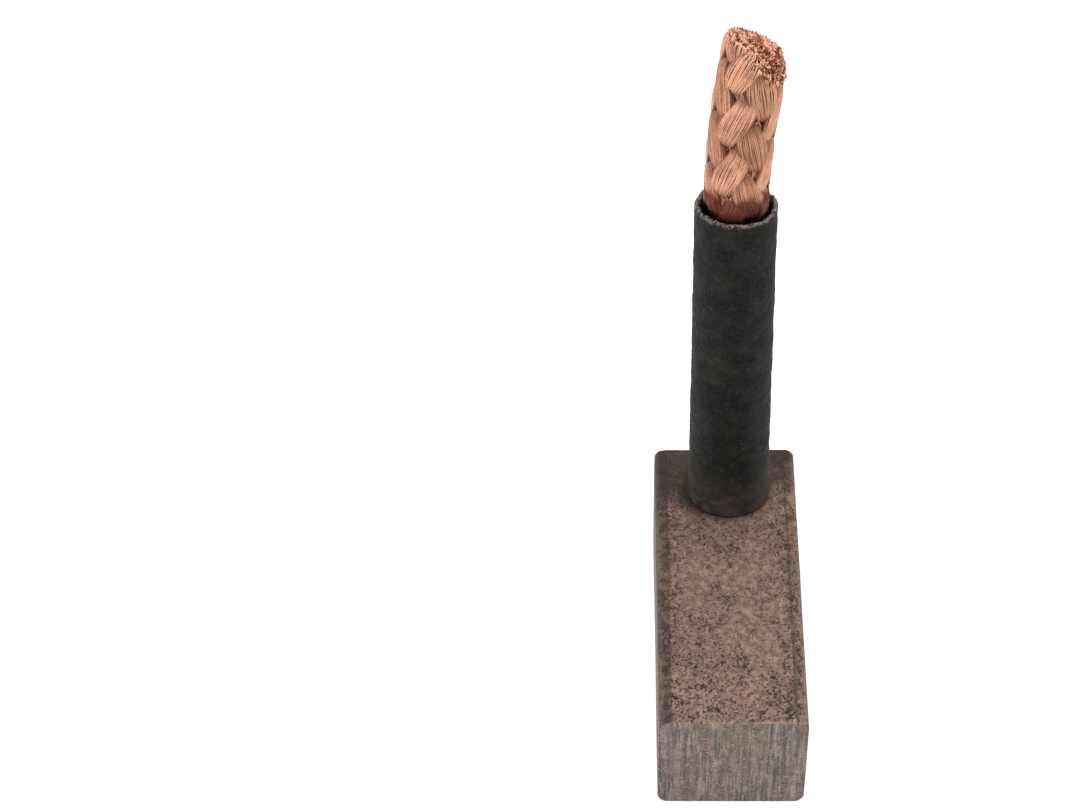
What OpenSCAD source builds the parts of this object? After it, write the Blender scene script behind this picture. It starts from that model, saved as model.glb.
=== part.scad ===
// Carbon brush with a braided copper lead in an insulating sleeve.
// Copper-graphite block, contact face toward -Y, lead rising from the far end of the top face.
// Origin at the middle of the block's resting face, +Z up.

/* [Block] */
// Width of the block across the contact face
block_w = 9; // [8:0.25:16]
// Length of the block from the contact face to its far end
block_l = 22; // [14:0.5:40]
// Thickness of the block, from the resting face up to the lead's face
block_t = 8; // [7:0.25:16]
// Radius of the four long edges
edge_r = 0.7; // [0.2:0.05:1]
// Distance of the lead from the far end
lead_inset = 3.6; // [3.5:0.1:6]

/* [Tamping hole] */
// Depth of the hole that the lead is tamped into
hole_depth = 4.8; // [3.5:0.1:6]
// Chamfer round the mouth of the hole
mouth_chamfer = 0.1; // [0.05:0.01:0.12]
// Powder wall between the lead and the hole
plug_wall = 0.2; // [0.15:0.01:0.25]
// Powder floor under the end of the lead
plug_floor = 0.7; // [0.4:0.1:1.5]
// Depth of the plug's top under the block's face
plug_recess = 0.1; // [0.05:0.05:0.4]

/* [Braided lead] */
// Diameter over the braid
braid_d = 3.7; // [3.5:0.05:4]
// Height in which a strand goes once round
braid_pitch = 27; // [24:0.5:32]
// Thickness of a strand where it lies on top
float_t = 0.42; // [0.34:0.01:0.46]
// Thickness of a strand where it passes between its neighbours
pinch_t = 0.38; // [0.3:0.01:0.4]
// Thickness of a strand where it lies underneath
under_t = 0.44; // [0.34:0.01:0.46]
// Room between strands where they cross
weave_gap = 0.02; // [0.02:0.01:0.06]
// Width of a strand on top, in columns of the weave
float_cover_ratio = 3.4; // [2.6:0.1:3.4]
// Width of a strand between its neighbours, in columns of the weave
pinch_cover_ratio = 0.6; // [0.4:0.05:0.6]
// Width of a strand underneath, in columns of the weave
under_cover_ratio = 1.8; // [1.2:0.1:1.8]
// Drop from the middle of the cut end to the nearest row of crossings
crossing_drop = 1.54; // [0:0.02:1.68]
// Bare length between the sleeve and the middle of the cut end
bare_l = 12; // [6:0.2:16]
// Slope of the cut end, falling toward +X
cut_side_slope = 0.5; // [0:0.05:0.7]
// Slope of the cut end, rising toward the contact face
cut_front_slope = 0.27; // [0:0.01:0.4]
// Extra slope where the cutter slipped off the front right of the lead
nip_slope = 1.4; // [0:0.1:1.4]
// Distance from the lead's middle at which that slip starts
nip_start = 0.5; // [0.3:0.1:1.8]
// Sideways bend of the cut end toward +X
end_bend = 0.8; // [0:0.1:1.2]
// Sideways lean of the lead toward -X, in degrees
lead_lean = 0.7; // [0:0.1:2]

/* [Insulating sleeve] */
// Height of the sleeve above the block
sleeve_l = 25.2; // [12:0.1:32]
// Wall of the sleeve
sleeve_wall = 0.35; // [0.25:0.05:0.45]
// Room between braid and sleeve on each side, at the rim
side_gap = 0.26; // [0.15:0.01:0.4]
// Extra half-width of the sleeve at its foot
foot_extra = 0.14; // [0:0.01:0.25]
// Height of the waves that the cut left on the rim
rim_wave = 0.1; // [0:0.01:0.15]
// Rise of the rim toward the contact face, per mm
rim_tilt = 0.12; // [0:0.01:0.15]

/* [Hidden] */

// Smallest clearance between the lead and what lies round it
lead_fit = 0.02;
// How far a cut runs past the face that it opens
overcut = 1;
round_fn = 64;

// The tamping hole is sized by what is tamped into it
plug_bore_d = braid_d + 2 * lead_fit;
hole_d = plug_bore_d + 2 * plug_wall;
lead_y = block_l / 2 - lead_inset;
lead_foot_z = block_t - hole_depth + plug_floor;
rim_z = block_t + sleeve_l;
cut_z = rim_z + bare_l;
crossing_z = cut_z - crossing_drop;

// A strand weaves in and out from the mean radius. The crossings stand in columns round the braid.
strands_each_way = 8;
columns = 2 * strands_each_way;
column_angle = 360 / columns;
weave_depth = (float_t + under_t) / 2 + weave_gap;
mean_r = braid_d / 2 - weave_depth - float_t / 2;
column_w = 2 * PI * mean_r / columns;
// A strand is a swept hexagon, with ten rings to each swing in and out
section_sides = 6;
ring_step = 4 * braid_pitch / columns / 10;
section_rings = ceil((cut_z - lead_foot_z) / ring_step) + 1;
// Turns the whole weave so that a right-hand float faces -Y, a little toward -X
weave_start = 56.25;
// Direction of the cutter's slip
nip_angle = -41;
// How quickly a strand narrows away from the middle of its float
taper_power = 1.5;

// The sleeve is a closed skin: up the outside, over the rim and down the inside
sleeve_sides = 40;
sleeve_levels = 12;
flare_h = 20;
// Waves round the rim: [how many, share of the height, start angle]
rim_waves = [[2, 0.3, 40], [5, 0.4, 110], [11, 0.3, 15]];

// ---- shared forms ----

function sum(list, i = 0) = i < len(list) ? list[i] + sum(list, i + 1) : 0;

// Sideways place of the lead at height z: a slight lean, then a bend of the bare end
function lead_x(z) =
    let (up = max(0, z - block_t), bare = max(0, z - rim_z) / bare_l)
    end_bend * bare * bare - tan(lead_lean) * up;

// Closes a stack of equal rings into a solid. The rings run counter-clockwise seen from the end
// of the stack.
module skin(rings) {
    n = len(rings[0]);
    last = len(rings) - 1;
    polyhedron(
        points = [for (ring = rings) each ring],
        faces = concat(
            [[for (k = [0:n - 1]) k]],
            [for (j = [0:last - 1], k = [0:n - 1])
                let (a = j * n + k, b = j * n + (k + 1) % n)
                each [[a, a + n, b], [b, a + n, b + n]]],
            [[for (k = [n - 1:-1:0]) last * n + k]]
        )
    );
}

// ---- block and plug ----

module block_section() {
    translate([0, block_t / 2]) {
        square([block_w - 2 * edge_r, block_t], center = true);
        square([block_w, block_t - 2 * edge_r], center = true);
        for (x = [-1, 1], y = [-1, 1])
            translate([x * (block_w / 2 - edge_r), y * (block_t / 2 - edge_r)])
                circle(r = edge_r, $fn = round_fn);
    }
}

module tamping_hole() {
    translate([0, lead_y, block_t - hole_depth])
        cylinder(h = hole_depth + overcut, d = hole_d, $fn = round_fn);
    translate([0, lead_y, block_t - mouth_chamfer])
        cylinder(
            h = mouth_chamfer + overcut,
            d1 = hole_d,
            d2 = hole_d + 2 * (mouth_chamfer + overcut),
            $fn = round_fn
        );
}

module carbon_block() {
    color("#6b5750")
        difference() {
            translate([0, block_l / 2, 0])
                rotate([90, 0, 0])
                    linear_extrude(height = block_l)
                        block_section();
            tamping_hole();
        }
}

module tamped_plug() {
    color("#3c3a3c")
        translate([0, lead_y, block_t - hole_depth])
            difference() {
                cylinder(h = hole_depth - plug_recess, d = hole_d, $fn = round_fn);
                translate([0, 0, plug_floor])
                    cylinder(h = hole_depth, d = plug_bore_d, $fn = round_fn);
            }
}

// ---- braided lead ----

// The weave: seen along the columns, a strand lies over two crossings and under two, so its
// radius swings once in four columns. way is +1 for right-hand strands and -1 for left-hand ones,
// which lie over where the others lie under.
function strand_angle(i, way, z) =
    360 * i / strands_each_way + way * 360 * (z - crossing_z) / braid_pitch;
function lift(i, way, z) = way * cos(90 * (strand_angle(i, way, z) / column_angle - 0.5));
function swell(lift, pinched, over, under) =
    pinched + (over - pinched) * pow(max(0, lift), taper_power)
    + (under - pinched) * pow(max(0, -lift), taper_power);

// Point k of a strand's hexagon at height z
function strand_point(i, way, z, k) =
    let (
        up = lift(i, way, z),
        r = mean_r + weave_depth * up,
        turn = -360 * k / section_sides,
        cover = swell(up, pinch_cover_ratio, float_cover_ratio, under_cover_ratio),
        across = column_w * cover / 2 * cos(turn),
        out = swell(up, pinch_t, float_t, under_t) / 2 * sin(turn) / sin(60),
        angle = weave_start + strand_angle(i, way, z) + across / r * 180 / PI
    )
    [lead_x(z) + (r + out) * cos(angle), lead_y + (r + out) * sin(angle), z];

// Height of the cut end over a point: an oblique plane, falling faster at the front right
function cut_over(p) =
    let (
        x = p[0] - lead_x(cut_z),
        y = p[1] - lead_y,
        toward_nip = x * cos(nip_angle) + y * sin(nip_angle)
    )
    cut_z - cut_side_slope * x - cut_front_slope * y - nip_slope * max(0, toward_nip - nip_start);
// Where the strand's edge k meets the cut, found by stepping to it
function cut_height(i, way, k, z, steps = 24) =
    steps == 0 ? z : cut_height(i, way, k, cut_over(strand_point(i, way, z, k)), steps - 1);

function strand_rings(i, way) =
    let (tops = [for (k = [0:section_sides - 1]) cut_height(i, way, k, cut_z)])
    [for (j = [0:section_rings - 1])
        [for (k = [0:section_sides - 1])
            let (z = lead_foot_z + (tops[k] - lead_foot_z) * j / (section_rings - 1))
            strand_point(i, way, z, k)]];

module braid_strand(number) {
    way = number <= strands_each_way ? 1 : -1;
    color(way > 0 ? "#c98a6b" : "#b87a5c")
        skin(strand_rings(number, way));
}

// ---- sleeve ----

function rim_height(angle) =
    rim_z + rim_wave * sum([for (w = rim_waves) w[1] * sin(w[0] * angle + w[2])]);

// Half-widths of the sleeve's bore at height z: [across, front to back]
function bore_half(z) =
    let (foot = pow(max(0, 1 - (z - block_t) / flare_h), 2))
    [braid_d / 2 + side_gap + foot_extra * foot, braid_d / 2 + lead_fit];

function sleeve_point(angle, share, wall) =
    let (
        half = bore_half(block_t + sleeve_l * share) + [wall, wall],
        y = half[1] * sin(angle),
        z = block_t + (rim_height(angle) - rim_tilt * y - block_t) * share
    )
    [lead_x(min(z, rim_z)) + half[0] * cos(angle), lead_y + y, z];

function sleeve_rings() =
    let (levels = [for (j = [0:sleeve_levels]) j / sleeve_levels])
    concat(
        [for (s = levels) sleeve_ring(s, sleeve_wall)],
        [for (j = [sleeve_levels:-1:0]) sleeve_ring(levels[j], 0)]
    );
function sleeve_ring(share, wall) =
    [for (k = [0:sleeve_sides - 1]) sleeve_point(360 * k / sleeve_sides, share, wall)];

// The stack of rings turns back on itself, so its first and last rings close into the foot
module insulating_sleeve() {
    rings = sleeve_rings();
    n = sleeve_sides;
    count = len(rings);
    color("#2b2b2c")
        polyhedron(
            points = [for (ring = rings) each ring],
            faces = [for (j = [0:count - 1], k = [0:n - 1])
                let (
                    a = j * n + k,
                    b = j * n + (k + 1) % n,
                    c = ((j + 1) % count) * n + k,
                    d = ((j + 1) % count) * n + (k + 1) % n
                )
                each [[a, c, b], [b, c, d]]]
        );
}

carbon_block();
tamped_plug();
insulating_sleeve();
braid_strand(1);  // braid_strand_01
braid_strand(2);  // braid_strand_02
braid_strand(3);  // braid_strand_03
braid_strand(4);  // braid_strand_04
braid_strand(5);  // braid_strand_05
braid_strand(6);  // braid_strand_06
braid_strand(7);  // braid_strand_07
braid_strand(8);  // braid_strand_08
braid_strand(9);  // braid_strand_09
braid_strand(10);  // braid_strand_10
braid_strand(11);  // braid_strand_11
braid_strand(12);  // braid_strand_12
braid_strand(13);  // braid_strand_13
braid_strand(14);  // braid_strand_14
braid_strand(15);  // braid_strand_15
braid_strand(16);  // braid_strand_16
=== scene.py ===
# %% [markdown]
# # A carbon brush with a braided copper lead
#
# A carbon brush rubs on the commutator or the slip rings of a motor and carries the current there.
# This one is a pressed block of copper and graphite powder. A braid of fine copper wire is tamped
# into a hole in its top face, and a dark woven sleeve covers most of the braid.
#
# The solids, their sizes and their places come from the frame. This lesson dresses them: each part
# that needs more form than its solid has is worked out again as a surface with numpy, on the same
# sizes, and every part gets a procedural material.

import math

import bpy
import numpy as np
from mathutils import Matrix, Vector


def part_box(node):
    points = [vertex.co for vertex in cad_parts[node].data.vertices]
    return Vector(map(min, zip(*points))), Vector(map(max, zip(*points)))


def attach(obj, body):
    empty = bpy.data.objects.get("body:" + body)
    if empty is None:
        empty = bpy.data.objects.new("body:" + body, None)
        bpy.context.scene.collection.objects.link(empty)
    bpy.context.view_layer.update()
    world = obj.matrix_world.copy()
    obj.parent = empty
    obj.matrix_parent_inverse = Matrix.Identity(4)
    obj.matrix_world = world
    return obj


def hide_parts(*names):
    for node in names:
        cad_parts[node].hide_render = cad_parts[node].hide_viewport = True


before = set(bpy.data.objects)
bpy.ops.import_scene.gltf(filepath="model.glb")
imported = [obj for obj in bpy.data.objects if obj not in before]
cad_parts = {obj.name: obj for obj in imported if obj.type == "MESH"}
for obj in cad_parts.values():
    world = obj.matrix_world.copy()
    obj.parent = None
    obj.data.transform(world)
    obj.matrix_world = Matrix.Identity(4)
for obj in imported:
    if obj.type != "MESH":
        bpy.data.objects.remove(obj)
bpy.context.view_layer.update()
MM = 0.001

# %% [markdown]
# ## Sizes that the dressing needs
#
# The boxes of the solids give the block and the plug. The weave of the braid can't be read off a
# box, so its few numbers are named here, as a rope maker would state them: the pitch, how many
# strands run each way, and how wide and thick a strand is on top, between its neighbours and
# underneath.
#
# The solids keep the lead as it was braided. A real lead is pulled while it is cut, so its bare end
# is dressed a little longer in the lay, a little wider across, and slightly off the hole's middle.

# %% Sizes from the frame
block_lo, block_hi = (np.array(c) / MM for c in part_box("carbon_block"))
plug_lo, plug_hi = (np.array(c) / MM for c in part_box("tamped_plug"))

BLOCK_W, BLOCK_L, BLOCK_T = block_hi - block_lo
LEAD_Y = (plug_lo[1] + plug_hi[1]) / 2
HOLE_R = (plug_hi[0] - plug_lo[0]) / 2
HOLE_DEPTH = BLOCK_T - plug_lo[2]
EDGE_R = 0.7
FOOT_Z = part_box("braid_strand_01")[0][2] / MM
SLEEVE_L, BARE_L = 25.2, 12.0
RIM_Z = BLOCK_T + SLEEVE_L
CUT_Z = RIM_Z + BARE_L
print("block", [round(v, 2) for v in (BLOCK_W, BLOCK_L, BLOCK_T)], "lead at y", round(LEAD_Y, 2))

# %% Sizes of the weave, in millimetres
BRAID_R = 1.85
PITCH = 31.0  # one whole turn of a strand; the solids have 27, before the pull
EACH_WAY = 8
COLUMN_ANGLE = math.pi / EACH_WAY  # a column is a sixteenth of the way round
FLOAT_T, PINCH_T, UNDER_T = 0.42, 0.38, 0.44  # thickness on top, at a crossing, underneath
FLOAT_COVER, PINCH_COVER, UNDER_COVER = 4.216, 3.12, 3.6  # widths there, in columns
WEAVE_DEPTH = (FLOAT_T + UNDER_T) / 2 + 0.02
MEAN_R = BRAID_R - WEAVE_DEPTH - FLOAT_T / 2
COLUMN_W = MEAN_R * COLUMN_ANGLE
FLAT_TOP = 0.7  # how long a strand stays on top: 0 as a cosine, 1 nearly flat
HOLD_UP = 0.48  # how far the middle of a dive is held up
SHALLOW = 0.75  # the share of the depth that a strand takes underneath
WEAVE_START = math.radians(56.25)
CROSSING_Z = CUT_Z - 1.54  # a crossing near the cut, from which the others follow
TAPER = 1.5  # the power with which a strand narrows on its way down
LEAN = math.tan(math.radians(0.6))
END_BEND = 0.95
LEAD_SHIFT = 0.15
BROADER = 0.09
DARK_LINE_UP = 1.9  # the height above the sleeve's rim below which the copper is darker
CUT_SLOPE_X, CUT_SLOPE_Y = 0.5, 0.27
NIP_SLOPE, NIP_START, NIP_ANGLE = 1.4, 0.5, math.radians(-41)

# %% [markdown]
# ## Camera, floor and light
#
# The camera looks down at 47 degrees with a long lens, so the block's sides nearly keep their
# direction. The floor is plain and pale. The light is a bright room of white cloth, as for small
# products: an even sky, a wide softbox overhead, a panel at each side, and a smaller softbox in
# front that lets the copper glint.


# %% Camera
def add_object(name, data):
    """A new object that holds data, linked into the scene."""
    made = bpy.data.objects.new(name, data)
    bpy.context.collection.objects.link(made)
    return made


def place_camera(spot, forward, roll_deg, focal_mm):
    """Looks along forward from spot, and then turns about its own axis by the roll."""
    look = Vector(forward).normalized()
    side = look.cross(Vector((0, 0, 1))).normalized()
    turn = Matrix((side, side.cross(look), -look)).transposed().to_4x4()
    roll = Matrix.Rotation(math.radians(roll_deg), 4, "Z")
    data = bpy.data.cameras.new("camera")
    data.lens = focal_mm
    data.sensor_width = 36
    data.clip_start = 0.01
    camera = add_object("camera", data)
    camera.matrix_world = Matrix.Translation(Vector(spot) * MM) @ turn @ roll
    bpy.context.scene.camera = camera
    return camera


camera = place_camera(
    spot=(-7.86, -120.87, 154.84),
    forward=(-0.0204, 0.6788, -0.7340),
    roll_deg=-1.34,
    focal_mm=101.7,
)
print("camera at", [round(v / MM, 1) for v in camera.matrix_world.translation], "mm")


# %% Floor and light
BRUSH_MIDDLE = Vector((0, 0, 0.02))


def principled(name, **values):
    """A material with one Principled shader, its plain values set on the shader itself."""
    material = bpy.data.materials.new(name)
    material.use_nodes = True
    shader = material.node_tree.nodes["Principled BSDF"]
    for socket, value in values.items():
        shader.inputs[socket.replace("_", " ")].default_value = value
    return material, material.node_tree, shader


def softbox(name, spot, size, watts, tint=(1, 1, 1)):
    """A rectangular area light at spot that faces the brush. All in metres."""
    data = bpy.data.lights.new(name, "AREA")
    data.shape = "RECTANGLE"
    data.size, data.size_y = size
    data.energy = watts
    data.color = tint
    lamp = add_object(name, data)
    lamp.location = spot
    lamp.rotation_euler = (BRUSH_MIDDLE - Vector(spot)).to_track_quat("-Z", "Y").to_euler()


def pale_floor():
    """A wide square, with the brush standing at its middle."""
    half = 3.0
    mesh = bpy.data.meshes.new("floor")
    corners = [(-half, -half, 0), (half, -half, 0), (half, half, 0), (-half, half, 0)]
    mesh.from_pydata(corners, [], [(0, 1, 2, 3)])
    floor = add_object("floor", mesh)
    colour, glow = (0.9, 0.9, 0.9, 1), (1, 1, 1, 1)
    paper, _, _ = principled(
        "lit paper", Base_Color=colour, Roughness=0.9, Emission_Color=glow, Emission_Strength=0.4
    )
    mesh.materials.append(paper)


def white_room(strength):
    """An even white sky."""
    world = bpy.data.worlds.new("white room")
    world.use_nodes = True
    sky = world.node_tree.nodes["Background"]
    sky.inputs["Color"].default_value = (1, 1, 1, 1)
    sky.inputs["Strength"].default_value = strength
    bpy.context.scene.world = world


pale_floor()
white_room(0.44)
softbox("softbox overhead", (0.05, 0.1, 0.55), (0.5, 0.5), 2.2)
softbox("softbox front", (-0.25, -0.4, 0.35), (0.3, 0.3), 1.1, (1, 0.98, 0.95))
softbox("panel left", (-0.45, 0.02, 0.12), (0.5, 0.35), 1.1)
softbox("panel right", (0.45, 0.02, 0.12), (0.5, 0.35), 1.1)
bpy.context.scene.view_settings.view_transform = "Standard"

# %% [markdown]
# ## Tools for surfaces
#
# Three small tools do most of the work. One turns a grid of points into a mesh, one closes a tube
# round each of many paths at once, and one is a smooth noise in space, which the powder, the cut
# rim and the loose wires share.


# %% Grids, meshes and tubes
def grid_quads(rows, columns):
    """Quads between neighbours in a grid of points, row after row, with each row's ends joined."""
    row, column = np.meshgrid(np.arange(rows - 1), np.arange(columns), indexing="ij")
    here = row * columns + column
    right = row * columns + (column + 1) % columns
    return np.stack([here, right, right + columns, here + columns], -1).reshape(-1, 4)


def make_piece(name, points, faces, material, marks):
    """A mesh object from points in millimetres and a list of face arrays, each n x corners.

    marks are numbers for each point, such as how much painted shade it takes. The material reads
    them.
    """
    mesh = bpy.data.meshes.new(name)
    mesh.vertices.add(len(points))
    mesh.vertices.foreach_set("co", (np.asarray(points) * MM).astype(np.float32).ravel())
    corners = np.concatenate([f.ravel() for f in faces])
    counts = np.concatenate([np.full(len(f), f.shape[1]) for f in faces])
    mesh.loops.add(len(corners))
    mesh.loops.foreach_set("vertex_index", corners.astype(np.int32))
    mesh.polygons.add(len(counts))
    starts = np.concatenate([[0], np.cumsum(counts)[:-1]])
    mesh.polygons.foreach_set("loop_start", starts.astype(np.int32))
    mesh.polygons.foreach_set("use_smooth", np.full(len(counts), True))
    for mark, values in marks.items():
        layer = mesh.attributes.new(mark, "FLOAT", "POINT")
        layer.data.foreach_set("value", np.asarray(values, dtype=np.float32).ravel())
    mesh.update(calc_edges=True)
    mesh.validate()
    mesh.materials.append(material)
    piece = add_object(name, mesh)
    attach(piece, "root")
    return piece


def tubes(paths, radii, sides, outward):
    """Closed tubes round many paths at once.

    paths is wires x rings x 3. radii is one radius, or one for each ring. outward is the
    direction in which the first corner of a ring lies. A ring's corner at angle a is
    path + radius * (cos a * outward + sin a * (outward x tangent)). Flat ends close the tube.
    """
    count, rings, _ = paths.shape
    radii = np.broadcast_to(radii, (count, rings))
    tangent = np.gradient(paths, axis=1)
    tangent /= np.linalg.norm(tangent, axis=2, keepdims=True) + 1e-12
    first = outward - (outward * tangent).sum(2, keepdims=True) * tangent
    first /= np.linalg.norm(first, axis=2, keepdims=True) + 1e-12
    second = np.cross(tangent, first)
    angle = 2 * math.pi * np.arange(sides) / sides
    ring = first[:, :, None] * np.cos(angle)[:, None] + second[:, :, None] * np.sin(angle)[:, None]
    points = paths[:, :, None] + radii[:, :, None, None] * ring
    wire = grid_quads(rings, sides)
    step = rings * sides
    quads = (wire[None] + step * np.arange(count)[:, None, None]).reshape(-1, 4)
    corner = np.arange(sides)
    low = corner[::-1] + step * np.arange(count)[:, None]
    high = corner + (rings - 1) * sides + step * np.arange(count)[:, None]
    return points.reshape(-1, 3), [quads, low, high]


def noise(points, size, seed=0):
    """Smooth noise from -1 to 1: random values on a cubic lattice of the given size, blended.

    The values come from mixing up the bits of each lattice corner's whole numbers, and the blend
    from one corner to the next is 3t^2 - 2t^3.
    """
    p = np.asarray(points) / size + 17.3 * (seed + 1)
    cell = np.floor(p).astype(np.int64)
    t = p - cell
    t = t * t * (3 - 2 * t)
    total = 0
    for corner in np.ndindex(2, 2, 2):
        c = cell + corner
        h = c[..., 0] * 374761393 + c[..., 1] * 668265263 + c[..., 2] * 2147483647
        h = (h ^ (h >> 13)) * 1274126177
        value = ((h ^ (h >> 16)) & 0xFFFF) / 32767.5 - 1
        total = total + value * np.where(corner, t, 1 - t).prod(-1)
    return total


print("surface tools ready")

# %% [markdown]
# ## Effects that several materials share
#
# Powder, varnish and copper all need the same few effects: stains of one size or another, small
# specks, curled lines and grooves. Each is a node group with named inputs, built once and placed
# in each material with its own values. All of them read the object's own coordinates, in
# millimetres, so nothing slides when the camera moves.


# %% Shader groups
def feed(tree, slot, value):
    """Gives a socket its value: a link from another socket, or a plain number or colour."""
    if isinstance(value, bpy.types.NodeSocket):
        tree.links.new(value, slot)
    else:
        slot.default_value = value


def math_node(tree, operation, *values, clamp=False):
    """A Math node on sockets or plain numbers."""
    node = tree.nodes.new("ShaderNodeMath")
    node.operation = operation
    node.use_clamp = clamp
    for slot, value in zip(node.inputs, values):
        feed(tree, slot, value)
    return node.outputs["Value"]


def new_group(name, mask_of_group, **numbers):
    """A shader group with number inputs and a Mask output, which mask_of_group works out.

    It gets the tree, the inputs by name, the coordinates in mm over Size, and Size on each axis.
    """
    tree = bpy.data.node_groups.new(name, "ShaderNodeTree")
    for label, value in numbers.items():
        socket = tree.interface.new_socket(label, in_out="INPUT", socket_type="NodeSocketFloat")
        socket.default_value = value
    tree.interface.new_socket("Mask", in_out="OUTPUT", socket_type="NodeSocketFloat")
    given = tree.nodes.new("NodeGroupInput").outputs
    where = tree.nodes.new("ShaderNodeTexCoord")
    in_mm = tree.nodes.new("ShaderNodeVectorMath")
    in_mm.operation = "SCALE"
    in_mm.inputs["Scale"].default_value = 1 / MM
    tree.links.new(where.outputs["Object"], in_mm.inputs[0])
    shrink = tree.nodes.new("ShaderNodeVectorMath")
    shrink.operation = "DIVIDE"
    size = tree.nodes.new("ShaderNodeCombineXYZ")
    for axis in "XYZ":
        tree.links.new(given["Size"], size.inputs[axis])
    tree.links.new(in_mm.outputs["Vector"], shrink.inputs[0])
    tree.links.new(size.outputs["Vector"], shrink.inputs[1])
    mask = mask_of_group(tree, given, shrink.outputs["Vector"], size.inputs)
    tree.links.new(mask, tree.nodes.new("NodeGroupOutput").inputs["Mask"])
    return tree


def noise_in(tree, where, seed, detail, distortion=0.0):
    """A noise texture in four dimensions. The fourth one is the seed."""
    node = tree.nodes.new("ShaderNodeTexNoise")
    node.noise_dimensions = "4D"
    node.inputs["Scale"].default_value = 1.0
    node.inputs["Detail"].default_value = detail
    node.inputs["Distortion"].default_value = distortion
    tree.links.new(where, node.inputs["Vector"])
    tree.links.new(seed, node.inputs["W"])
    return node.outputs["Fac"]


def step_between(tree, value, low, high):
    """0 below low, 1 above high, smooth between."""
    node = tree.nodes.new("ShaderNodeMapRange")
    node.interpolation_type = "SMOOTHSTEP"
    for name, given in (("Value", value), ("From Min", low), ("From Max", high)):
        feed(tree, node.inputs[name], given)
    return node.outputs["Result"]


def stains_mask(tree, given, where, _):
    """Soft blotches: noise cut between Low and High."""
    cloud = noise_in(tree, where, given["Seed"], 5.0, 0.4)
    return step_between(tree, cloud, given["Low"], given["High"])


def grains_mask(tree, given, where, _):
    """Small separate grains: the tops of a coarse noise. Amount is the share that stays."""
    cloud = noise_in(tree, where, given["Seed"], 2.0)
    edge = math_node(tree, "SUBTRACT", 0.78, math_node(tree, "MULTIPLY", given["Amount"], 0.5))
    return step_between(tree, cloud, edge, math_node(tree, "ADD", edge, 0.06))


def curls_mask(tree, given, where, _):
    """Short curled lines: where a warped noise passes its middle value, broken by another."""
    cloud = noise_in(tree, where, given["Seed"], 1.0, 1.2)
    off = math_node(tree, "ABSOLUTE", math_node(tree, "SUBTRACT", cloud, 0.5))
    line = step_between(tree, math_node(tree, "SUBTRACT", given["Width"], off), 0.0, 0.012)
    other = math_node(tree, "ADD", given["Seed"], 40.0)
    gaps = step_between(tree, noise_in(tree, where, other, 2.0), 0.5, 0.56)
    return math_node(tree, "MULTIPLY", line, gaps)


def grooves_mask(tree, given, where, size):
    """Upright grooves: noise stretched along Z by Length."""
    tree.links.new(math_node(tree, "MULTIPLY", given["Size"], given["Length"]), size["Z"])
    return step_between(tree, noise_in(tree, where, given["Seed"], 6.0), 0.36, 0.64)


STAINS = new_group("soft stains", stains_mask, Size=1.0, Seed=0.0, Low=0.4, High=0.6)
SPECKS = new_group("grains", grains_mask, Size=0.2, Seed=0.0, Amount=0.3)
CURLS = new_group("curled specks", curls_mask, Size=0.4, Seed=0.0, Width=0.03)
GROOVES = new_group("ground grooves", grooves_mask, Size=0.2, Seed=0.0, Length=8.0)
print("shader groups:", ", ".join(g.name for g in bpy.data.node_groups))

# %% [markdown]
# ## Colours laid over each other
#
# Every finish here is built like a painter's work: a ground colour, then thin coats, each let
# through by a mask. A mask is one use of a group above, or a mark that the mesh keeps for each of
# its points. Colours are written as a screen shows them, from 0 to 255.


# %% Helpers for building a material
def place(tree, group, **values):
    """The mask of one use of a shader group, with its own values."""
    node = tree.nodes.new("ShaderNodeGroup")
    node.node_tree = group
    for socket, value in values.items():
        node.inputs[socket].default_value = value
    return node.outputs["Mask"]


def mark_of(tree, name):
    """A mark that the mesh keeps for each point."""
    node = tree.nodes.new("ShaderNodeAttribute")
    node.attribute_name = name
    return node.outputs["Fac"]


def times(tree, value, factor):
    """value * factor."""
    return math_node(tree, "MULTIPLY", value, factor)


def add_mix(tree, a, b, share):
    """a + share * b, kept between 0 and 1."""
    return math_node(tree, "ADD", a, times(tree, b, share), clamp=True)


def from_to(tree, mask, low, high):
    """low where the mask is 0 and high where it is 1: low + (high - low) * mask."""
    return math_node(tree, "ADD", low, times(tree, mask, high - low))


def linear(screen):
    """A colour in screen values from 0 to 255 as the linear RGBA that shaders use."""
    share = np.array(screen) / 255
    rgb = np.where(share > 0.04045, ((share + 0.055) / 1.055) ** 2.4, share / 12.92)
    return (*map(float, rgb), 1)


def paint(tree, colour, *coats):
    """A ground colour with coats over it. A coat is a colour, a mask and, below 1, a share.

    Each coat makes it colour + (coat - colour) * mask * share.
    """
    for coat, mask, *share in coats:
        node = tree.nodes.new("ShaderNodeMix")
        node.data_type = "RGBA"
        feed(tree, node.inputs[0], times(tree, mask, *share) if share else mask)
        for slot, value in ((6, colour), (7, coat)):
            feed(tree, node.inputs[slot], linear(value) if isinstance(value, tuple) else value)
        colour = node.outputs[2]
    return colour


def bump(tree, shader, height, distance, strength=1.0):
    """Relief too fine for the mesh: height from 0 to 1 over a distance in millimetres."""
    node = tree.nodes.new("ShaderNodeBump")
    node.inputs["Strength"].default_value = strength
    node.inputs["Distance"].default_value = distance * MM
    tree.links.new(height, node.inputs["Height"])
    tree.links.new(node.outputs["Normal"], shader.inputs["Normal"])


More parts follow.
